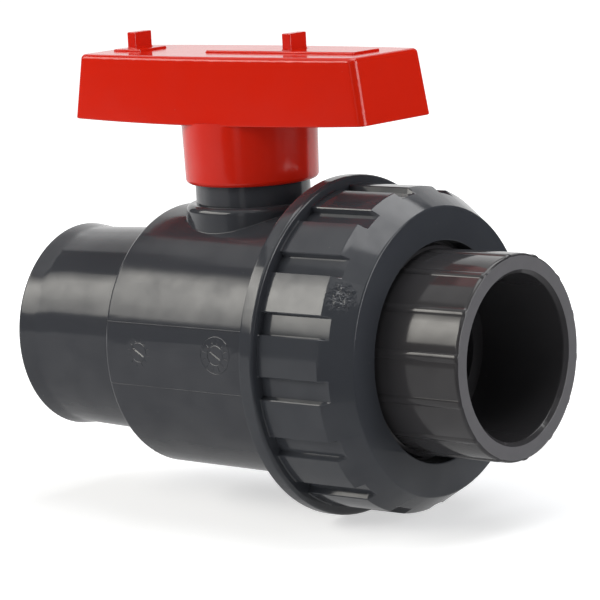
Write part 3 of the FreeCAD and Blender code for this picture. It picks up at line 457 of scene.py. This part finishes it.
# the boss's foot: a fine raised bead of the same moulding, where the upright boss runs into the
# round body.  It follows the body's curve, and draws one thin bright line.
FOOT_RADIUS = 21.15 * MM
FOOT_BEAD = 0.24 * MM
bpy.ops.mesh.primitive_torus_add(location=(BALL, 0, 0), major_radius=FOOT_RADIUS,
                                 minor_radius=FOOT_BEAD, major_segments=160, minor_segments=10)
foot_bead = bpy.context.active_object
foot_bead.name = "boss_foot_bead"
settle(foot_bead)
for vertex in foot_bead.data.vertices:
    reach = BODY_RADIUS + (vertex.co.x - BALL) * WIDENING
    vertex.co.z += math.sqrt(reach ** 2 - vertex.co.y ** 2)
finished(foot_bead, body_pvc, "housing", smooth_angle=50)


# ---- union thread: a rounded trapezoid ridge of pitch 4.5 mm, moulded round the body's front.  The
# nut turns on it as it draws the union shut.
def ridge(name, start, turns, foot_radius, top_radius, foot_half, top_half):
    """Winds a ridge right-handed round the flow axis from a starting place along it."""
    bpy.ops.mesh.primitive_plane_add(size=1)
    piece = bpy.context.active_object
    piece.name = name
    corners = [(start - foot_half, foot_radius), (start + foot_half, foot_radius),
               (start + top_half, top_radius), (start - top_half, top_radius)]
    order = sorted(piece.data.vertices, key=lambda v: math.atan2(v.co.y, v.co.x))
    for vertex, (x, z) in zip(order, corners):
        vertex.co = (x, 0, z)
    bpy.ops.object.mode_set(mode="EDIT")
    bpy.ops.mesh.select_all(action="SELECT")
    bpy.ops.mesh.delete(type="ONLY_FACE")
    bpy.ops.object.mode_set(mode="OBJECT")
    steps = int(turns * STEPS_PER_TURN)
    applied(piece, "SCREW", axis="X", angle=turns * math.tau, screw_offset=turns * THREAD_PITCH,
            steps=steps, render_steps=steps, use_merge_vertices=False)
    # each end sinks away over a short arc, as a moulded thread's does
    for vertex in piece.data.vertices:
        radius = math.hypot(vertex.co.y, vertex.co.z)
        along = (vertex.co.x - start) / THREAD_PITCH
        from_end = min(along, turns - along)
        if from_end < FADE:
            sunk = foot_radius + (radius - foot_radius) * max(from_end, 0) / FADE
            vertex.co.y *= sunk / radius
            vertex.co.z *= sunk / radius
    bpy.ops.object.mode_set(mode="EDIT")
    bpy.ops.mesh.select_all(action="SELECT")
    bpy.ops.mesh.fill_holes(sides=6)
    bpy.ops.mesh.normals_make_consistent(inside=False)
    bpy.ops.object.mode_set(mode="OBJECT")
    return piece


THREAD_PITCH = 4.5 * MM
THREAD_START = 39.4 * MM          # from the ball's centre
STEPS_PER_TURN = 72
FADE = 0.12                       # of a turn
body_thread = ridge("body_thread", BALL + THREAD_START, turns=3.5,
                    foot_radius=THREAD_ROOT - 0.3 * MM, top_radius=THREAD_CREST,
                    foot_half=1.3 * MM, top_half=0.55 * MM)
finished(body_thread, body_pvc, "housing", smooth_angle=40)


# ---- union nut: a stout PVC-U ring with sixteen grip grooves, a plain rim behind and a tapered
# front.  Its lands and edges are crisp from the mould, with a small round that catches the light,
# and the same ridge runs inside it, half a pitch further on than the body's.

# the body's PVC-U, a touch glossier
nut_pvc = moulded("dark_grey_moulded_nut_pvc", "#3E4046", "#43464B", roughness=0.11, waviness=0.06,
                  cloud_size=16 * MM, ior=1.56)
NUT_BORE = 44.35                  # millimetres, as are the nut's other sizes
nut_thread = ridge("nut_thread", BALL + THREAD_START + THREAD_PITCH / 2, turns=3,
                   foot_radius=NUT_BORE * MM + 0.3 * MM, top_radius=THREAD_ROOT + 0.45 * MM,
                   foot_half=1.15 * MM, top_half=0.45 * MM)
finished(nut_thread, nut_pvc, "nut", smooth_angle=40)

# a knock has scuffed one spot on the nut's taper, 10 mm across, which glints in the light
KNOCK_PLACE = (BALL + 65.3 * MM, -41.6 * MM, 22.8 * MM)
tree = nut_pvc.node_tree
place = add_node(tree, "ShaderNodeTexCoord")
from_knock = add_node(tree, "ShaderNodeVectorMath", {0: place.outputs["Object"]},
                      operation="DISTANCE", inputs={1: KNOCK_PLACE})
knock = add_node(tree, "ShaderNodeMapRange", {"Value": from_knock.outputs["Value"]},
                 inputs={"From Min": 1.5 * MM, "From Max": 5.2 * MM, "To Min": 1, "To Max": 0})
dents = add_node(tree, "ShaderNodeTexNoise", {"Vector": place.outputs["Object"]},
                 inputs={"Scale": 1 / (1.4 * MM), "Detail": 2})
about_zero = add_node(tree, "ShaderNodeMath", {0: dents.outputs["Fac"]}, operation="SUBTRACT",
                      inputs={1: 0.5})
dented = add_node(tree, "ShaderNodeMath", {0: knock.outputs["Result"], 1: about_zero.outputs[0]},
                  operation="MULTIPLY")
scuffed = add_node(tree, "ShaderNodeBump",
                   {"Height": dented.outputs[0], "Normal": tree.nodes["Bump"].outputs["Normal"]},
                   inputs={"Strength": 1, "Distance": 1.3 * MM})
tree.links.new(scuffed.outputs["Normal"], tree.nodes["Principled BSDF"].inputs["Normal"])


def spot_key(vertex):
    """A point's place to the nearest ten-thousandth of a millimetre."""
    return tuple(round(c / MM, 4) for c in vertex.co)


def drawn_out(name, angles, rings):
    """Draws a ring of points out along the flow axis, ring after ring, into a closed shell.
    Each ring is its place from the ball's centre and the radius at every angle, in millimetres."""
    bpy.ops.mesh.primitive_circle_add(vertices=len(angles), radius=1)
    piece = bpy.context.active_object
    piece.name = name
    turn_of = {spot_key(vertex): vertex.index for vertex in piece.data.vertices}
    for step, (place, radii) in enumerate(rings + rings[:1]):
        if step:
            bpy.ops.object.mode_set(mode="EDIT")
            bpy.ops.mesh.extrude_region_move()
            bpy.ops.object.mode_set(mode="OBJECT")
        turns = {}
        for vertex in piece.data.vertices:
            if vertex.select:
                turn = turn_of[spot_key(vertex)]
                radius = radii[turn] * MM
                phi = math.radians(angles[turn])
                vertex.co = (BALL + place * MM, -radius * math.cos(phi), radius * math.sin(phi))
                turns[spot_key(vertex)] = turn
        turn_of = turns
    bpy.ops.object.mode_set(mode="EDIT")
    bpy.ops.mesh.select_all(action="SELECT")
    bpy.ops.mesh.remove_doubles(threshold=0.001 * MM)
    bpy.ops.mesh.normals_make_consistent(inside=False)
    bpy.ops.object.mode_set(mode="OBJECT")
    return piece


GROOVES = 16
FIRST_GROOVE = 17                 # degrees
GROOVE_EDGE = 0.25                # drop from a land to its groove's rounded edge
GROOVE_FLOOR = 48
RIM_RADIUS = 52.5
LAND_RADIUS = 49.8
LAND_END = 61.5
NUT_FRONT = 70.75
FACE_RADIUS = 44
FLANGE_BACK = 63.3
NUT_HOLE = 33.6
# degrees from a groove's middle, and what stands there
NUT_SECTOR = [(-4.25, "land"), (-3.95, "edge"), (-3.5, "floor"), (-1.2, "floor"), (1.2, "floor"),
              (3.5, "floor"), (3.95, "edge"), (4.25, "land"), (7.5, "land"), (11.25, "land"),
              (15, "land")]
nut_angles = []
nut_forms = []
for groove in range(GROOVES):
    for offset, form in NUT_SECTOR:
        nut_angles.append(FIRST_GROOVE + groove * 360 / GROOVES + offset)
        nut_forms.append(form)


def nut_ring(place, land, floor=None):
    """A ring of the nut at a place along it: plain, or grooved where a floor is given."""
    floor = min(land, floor or land)
    levels = {"land": land, "edge": max(land - GROOVE_EDGE, floor), "floor": floor}
    return place, [levels[form] for form in nut_forms]


def taper_ring(place, floor=None):
    """A ring of the nut on the taper between its lands and its face."""
    share = (place - LAND_END) / (NUT_FRONT - LAND_END)
    return nut_ring(place, LAND_RADIUS - share * (LAND_RADIUS - FACE_RADIUS), floor)


nut_shell = drawn_out("nut_shell", nut_angles, [
    # the plain rim, rounded on both of its edges
    nut_ring(33.75, 45.1), nut_ring(33.75, 51.4), nut_ring(33.9, 51.95), nut_ring(34.25, 52.35),
    nut_ring(34.85, RIM_RADIUS), nut_ring(38.05, RIM_RADIUS), nut_ring(38.47, 52.42),
    nut_ring(38.83, 52.18), nut_ring(39.07, 51.82), nut_ring(39.15, 51.4),
    # the lands and grooves, and the grooves' run out into the taper
    nut_ring(39.15, 50.1, GROOVE_FLOOR), nut_ring(39.45, LAND_RADIUS, GROOVE_FLOOR),
    nut_ring(61.25, LAND_RADIUS, GROOVE_FLOOR), taper_ring(61.7, GROOVE_FLOOR),
    taper_ring(63.2, GROOVE_FLOOR), taper_ring(64.3, GROOVE_FLOOR), taper_ring(64.6),
    taper_ring(70.3),
    # the face, and the hole for the union end's barrel
    nut_ring(70.62, 43.95), nut_ring(NUT_FRONT, 43.6), nut_ring(NUT_FRONT, 34.1),
    nut_ring(70.6, 33.75), nut_ring(70.25, NUT_HOLE), nut_ring(FLANGE_BACK, NUT_HOLE),
    # the bore that the thread runs in
    nut_ring(FLANGE_BACK, NUT_BORE), nut_ring(34.5, NUT_BORE),
])
finished(nut_shell, nut_pvc, "nut", smooth_angle=24, replaced="union_nut")


# ---- union end: the loose socket, moulded with fourteen shallow flats and a fine bead between each
# two, a flange for the nut to draw on, and a rounded edge round its mouth.
FLATS = 14
FIRST_FLAT = 21.9                 # degrees
BARREL_RADIUS = 31.2              # millimetres, as are the union end's other sizes
SOCKET_RADIUS = 25.1
WATERWAY_RADIUS = 20
FLANGE_RADIUS = 42.6
FLANGE_START = 57.5
PIPE_STOP = 67.6
MOUTH = 98.6
# degrees from a flat's middle and radius: a bowed flat, nearly round, then a steep rounded bead
UNION_SECTOR = [(-10, 31.14), (-7.5, 31.2), (-5, 31.23), (-2.5, 31.25), (0, 31.26), (2.5, 31.25),
                (5, 31.23), (7.5, 31.2), (10, 31.14), (10.3, 31.13), (10.8, 31.3), (11.4, 31.44),
                (12.1, 31.52), (12.857, 31.55), (13.6, 31.52), (14.3, 31.44), (14.9, 31.3),
                (15.4, 31.13)]
union_angles = [FIRST_FLAT + flat * 360 / FLATS + offset for flat in range(FLATS)
                for offset, radius in UNION_SECTOR]


def round_ring(place, radius):
    """A plain ring of the union end."""
    return place, [radius] * len(union_angles)


def barrel_ring(place, share, drop=0):
    """A ring of the barrel, with a share of its flats' and beads' shape."""
    return place, [BARREL_RADIUS + (radius - BARREL_RADIUS) * share - drop
                   for flat in range(FLATS) for offset, radius in UNION_SECTOR]


union_shell = drawn_out("union_shell", union_angles, [
    # the flange, and the step up to the barrel
    round_ring(FLANGE_START, WATERWAY_RADIUS), round_ring(FLANGE_START, 42.3),
    round_ring(57.8, FLANGE_RADIUS), round_ring(62.8, FLANGE_RADIUS), round_ring(63.1, 42.3),
    round_ring(63.1, 32.8), round_ring(63.5, 32.4), round_ring(67.5, 32),
    # the barrel, and the rounded edge of its mouth
    barrel_ring(68, 0), barrel_ring(70, 1), barrel_ring(97.45, 1), barrel_ring(97.8, 0.95, 0.05),
    barrel_ring(98.1, 0.85, 0.14), barrel_ring(98.35, 0.7, 0.29), barrel_ring(98.52, 0.5, 0.48),
    barrel_ring(MOUTH, 0.4, 0.7),
    # the bevel into the socket, rounded at both ends, and the pipe stop
    round_ring(MOUTH, 26.5), round_ring(98.58, 26.4), round_ring(98.53, 26.3),
    round_ring(97.6, 25.3), round_ring(97.5, 25.23), round_ring(97.35, 25.17),
    round_ring(97.1, 25.13), round_ring(96.4, SOCKET_RADIUS), round_ring(PIPE_STOP, SOCKET_RADIUS),
    round_ring(PIPE_STOP, WATERWAY_RADIUS),
])
# PVC-U of a more neutral dark grey than the body's, and smoother in its gloss
union_pvc = moulded("dark_grey_moulded_union_pvc", "#3D3C3E", "#424143", roughness=0.1,
                    waviness=0.04, cloud_size=26 * MM)
finished(union_shell, union_pvc, "union_tail", smooth_angle=16,
         replaced="union_end")
# the mouth's end was faced off after moulding, which leaves it matt and paler
faced_pvc = moulded("grey_faced_pvc", "#646366", "#6C6B6E", roughness=0.36, waviness=0.03,
                    cloud_size=5 * MM)
union_shell.data.materials.append(faced_pvc)
for face in union_shell.data.polygons:
    if face.center.x > BALL + (MOUTH - 0.01) * MM:
        face.material_index = 1


# ---- handle: a red ABS lever moulded hollow over ribs, with a hub that grips the stem's square.
# The two lugs on top are the key for the seat carrier.  The mould softens their edges and the
# edges of the lower rim.

# ABS coloured right through: a warm red with a soft, slightly wavy gloss
red_abs = moulded("red_moulded_abs", "#DC2109", "#E0240D", roughness=0.14, waviness=0.1)
handle_shell = merged_copy("handle_shell", "handle")
GRIP_TOP = 90.15 * MM
RIM_LOWEST = 68.5 * MM
RIM_HIGHEST = 70.5 * MM
UNDERSIDE = -0.98                 # upward part of a normal on the rim's underside, at most
SIDE_LEAN = (0.02, 0.35)          # and on the grip's sides, which lean back


def softened(test, offset, segments):
    """Bevels the handle's edges whose corner heights and face slopes pass a test."""
    only(handle_shell)
    bpy.ops.object.mode_set(mode="EDIT")
    bpy.ops.mesh.select_mode(type="EDGE")
    bpy.ops.mesh.select_all(action="DESELECT")
    bpy.ops.object.mode_set(mode="OBJECT")
    slopes = {}
    for face in handle_shell.data.polygons:
        for pair in face.edge_keys:
            slopes.setdefault(pair, []).append(face.normal.z)
    for edge in handle_shell.data.edges:
        heights = [handle_shell.data.vertices[i].co.z for i in edge.vertices]
        edge.select = test(heights, sorted(slopes[edge.key]))
    bpy.ops.object.mode_set(mode="EDIT")
    bpy.ops.mesh.bevel(offset=offset, segments=segments, affect="EDGES")
    bpy.ops.mesh.select_mode(type="VERT")
    bpy.ops.object.mode_set(mode="OBJECT")


def on_lug_or_pad(heights, slopes):
    """Whether an edge stands up from the grip's top."""
    return min(heights) > GRIP_TOP - NEAR and max(heights) > GRIP_TOP + 0.2 * MM


def on_lower_rim(heights, slopes):
    """Whether an edge lies between the rim's underside and the grip's leaning side."""
    return (min(heights) > RIM_LOWEST and max(heights) < RIM_HIGHEST
            and slopes[0] < UNDERSIDE and SIDE_LEAN[0] < slopes[-1] < SIDE_LEAN[1])


softened(on_lug_or_pad, offset=0.35 * MM, segments=2)
softened(on_lower_rim, offset=0.5 * MM, segments=3)
finished(handle_shell, red_abs, "lever", smooth_angle=32, replaced="handle")


# ---- ball, seat carrier and stem: PVC-U that works out of sight.  The ball is turned on a lathe to
# seal, and the other two are moulded as the body is.
def turned(name, hex_dark, hex_light, roughness, ring_spacing):
    """Plastic finished on a lathe: fine rings about the flow axis, and a satin gloss."""
    material = bpy.data.materials.new(name)
    tree = node_tree(material)
    place = add_node(tree, "ShaderNodeTexCoord")
    # the texture's bands are 0.31 apart at a scale of 1
    cut = add_node(tree, "ShaderNodeTexWave", {"Vector": place.outputs["Object"]},
                   bands_direction="X", inputs={"Scale": 0.31 / ring_spacing, "Distortion": 0.3})
    cloud = add_node(tree, "ShaderNodeTexNoise", {"Vector": place.outputs["Object"]},
                     inputs={"Scale": 1 / (9 * MM), "Detail": 3})
    colour = add_node(tree, "ShaderNodeMix", {"Factor": cloud.outputs["Fac"]}, data_type="RGBA")
    colour.inputs["A"].default_value = linear(hex_dark)
    colour.inputs["B"].default_value = linear(hex_light)
    bump = add_node(tree, "ShaderNodeBump", {"Height": cut.outputs["Fac"]},
                    inputs={"Strength": 0.15, "Distance": 0.05 * MM})
    skin = add_node(tree, "ShaderNodeBsdfPrincipled",
                    {"Base Color": colour.outputs["Result"], "Normal": bump.outputs["Normal"]},
                    inputs={"IOR": 1.5, "Roughness": roughness})
    add_node(tree, "ShaderNodeOutputMaterial", {"Surface": skin.outputs[0]})
    return material


def coat(names, material):
    """Gives CAD nodes their material."""
    for name in names:
        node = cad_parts[name]
        node.data.materials.clear()
        node.data.materials.append(material)


# turned PVC-U: grey, with a satin gloss and cutter lines 0.4 mm apart
ball_pvc = turned("dark_grey_turned_pvc", "#434447", "#4A4B4E", roughness=0.28,
                  ring_spacing=0.4 * MM)
coat(["ball"], ball_pvc)
coat(["seat_carrier", "stem"], body_pvc)

# ---- seats and thrust washer: PTFE rings cut from bar.  The seats are pressed into pockets on each
# side of the ball, and the washer lies on the stem's collar.

# turned PTFE: a waxy off-white with cutter lines 0.3 mm apart
white_ptfe = turned("white_turned_ptfe", "#DADAD4", "#E6E6E0", roughness=0.5, ring_spacing=0.3 * MM)
coat(["inlet_seat", "outlet_seat", "stem_thrust_washer"], white_ptfe)

# ---- cushions and O-rings: EPDM rubber rings, moulded whole and stretched into grooves behind the
# seats, round the carrier, on the union's face and on the stem.

# moulded EPDM: a matt black with hardly any shine
black_epdm = moulded("black_moulded_epdm", "#141415", "#1B1B1C", roughness=0.6, waviness=0.15,
                     cloud_size=6 * MM)
coat(["inlet_seat_cushion", "outlet_seat_cushion", "carrier_o_ring", "union_face_o_ring",
      "stem_o_ring_lower", "stem_o_ring_upper"], black_epdm)
